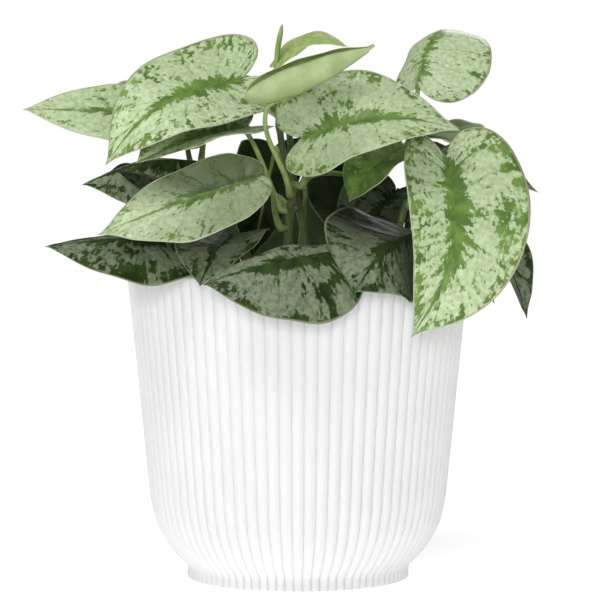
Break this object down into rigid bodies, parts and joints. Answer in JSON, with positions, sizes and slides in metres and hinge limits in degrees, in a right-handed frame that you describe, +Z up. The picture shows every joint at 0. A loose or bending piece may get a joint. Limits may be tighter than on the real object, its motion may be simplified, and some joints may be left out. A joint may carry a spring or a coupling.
{
  "type": "potted satin pothos",
  "caption": "Young satin pothos with silver-patched heart-shaped leaves, growing in a ribbed white round pot with a low foot.",
  "frame": {"origin": "centre of the pot's flat underside", "axes": "+Z up along the pot's axis; -Y is the side seen in the picture, +X to the right of the picture"},
  "size_m": [0.2121, 0.1835, 0.2262],
  "materials": {
    "pot": "matt white, ribbed",
    "soil": "rough and damp",
    "stem_front": "smooth green skin",
    "stem_left_inner": "smooth green skin",
    "stem_left": "smooth green skin",
    "stem_right_front": "smooth green skin",
    "stem_right": "smooth green skin",
    "stem_back": "smooth green skin",
    "stem_centre": "smooth green skin",
    "leaf_top_left": "satin, silver patches on green",
    "leaf_far_left": "satin, silver patches on green",
    "leaf_left_high": "satin, silver patches on green",
    "leaf_left_middle": "satin, silver patches on green",
    "leaf_left_inner": "satin, silver patches on green",
    "leaf_left_front": "satin, silver patches on green",
    "leaf_rim_left": "satin, silver patches on green",
    "leaf_rim_small": "satin, silver patches on green",
    "leaf_rim_front": "satin, silver patches on green",
    "leaf_rim_right": "satin, silver patches on green",
    "leaf_right_front": "satin, silver patches on green",
    "leaf_right_high": "satin, silver patches on green",
    "leaf_centre": "satin, silver patches on green",
    "leaf_furled": "satin, plain pale green",
    "leaf_young": "satin, plain pale green",
    "leaf_centre_low": "satin, silver patches on green",
    "leaf_right_middle": "satin, silver patches on green",
    "leaf_right_low": "satin, silver patches on green",
    "leaf_right_inner": "satin, silver patches on green",
    "leaf_centre_back": "satin, silver patches on green",
    "leaf_back_left_high": "satin, silver patches on green",
    "leaf_back_left_low": "satin, silver patches on green",
    "leaf_back_right_high": "satin, silver patches on green",
    "leaf_back_right_low": "satin, silver patches on green",
    "leaf_back_top": "satin, silver patches on green",
    "leaf_back_low": "satin, silver patches on green",
    "leaf_back_left": "satin, silver patches on green",
    "leaf_back_right": "satin, silver patches on green",
    "leaf_back_inner": "satin, silver patches on green",
    "leaf_left_back": "satin, silver patches on green",
    "leaf_right_back": "satin, silver patches on green",
    "leaf_rim_side": "satin, silver patches on green"
  },
  "bodies": {
    "root": {"pot": "pot", "soil": "soil", "stem_front": "stem_front", "stem_left_inner": "stem_left_inner", "stem_left": "stem_left", "stem_right_front": "stem_right_front", "stem_right": "stem_right", "stem_back": "stem_back", "stem_centre": "stem_centre", "leaf_top_left": "leaf_top_left", "leaf_far_left": "leaf_far_left", "leaf_left_high": "leaf_left_high", "leaf_left_middle": "leaf_left_middle", "leaf_left_inner": "leaf_left_inner", "leaf_left_front": "leaf_left_front", "leaf_rim_left": "leaf_rim_left", "leaf_rim_small": "leaf_rim_small", "leaf_rim_front": "leaf_rim_front", "leaf_rim_right": "leaf_rim_right", "leaf_right_front": "leaf_right_front", "leaf_right_high": "leaf_right_high", "leaf_centre": "leaf_centre", "leaf_furled": "leaf_furled", "leaf_young": "leaf_young", "leaf_centre_low": "leaf_centre_low", "leaf_right_middle": "leaf_right_middle", "leaf_right_low": "leaf_right_low", "leaf_right_inner": "leaf_right_inner", "leaf_centre_back": "leaf_centre_back", "leaf_back_left_high": "leaf_back_left_high", "leaf_back_left_low": "leaf_back_left_low", "leaf_back_right_high": "leaf_back_right_high", "leaf_back_right_low": "leaf_back_right_low", "leaf_back_top": "leaf_back_top", "leaf_back_low": "leaf_back_low", "leaf_back_left": "leaf_back_left", "leaf_back_right": "leaf_back_right", "leaf_back_inner": "leaf_back_inner", "leaf_left_back": "leaf_left_back", "leaf_right_back": "leaf_right_back", "leaf_rim_side": "leaf_rim_side"}
  },
  "joints": []
}
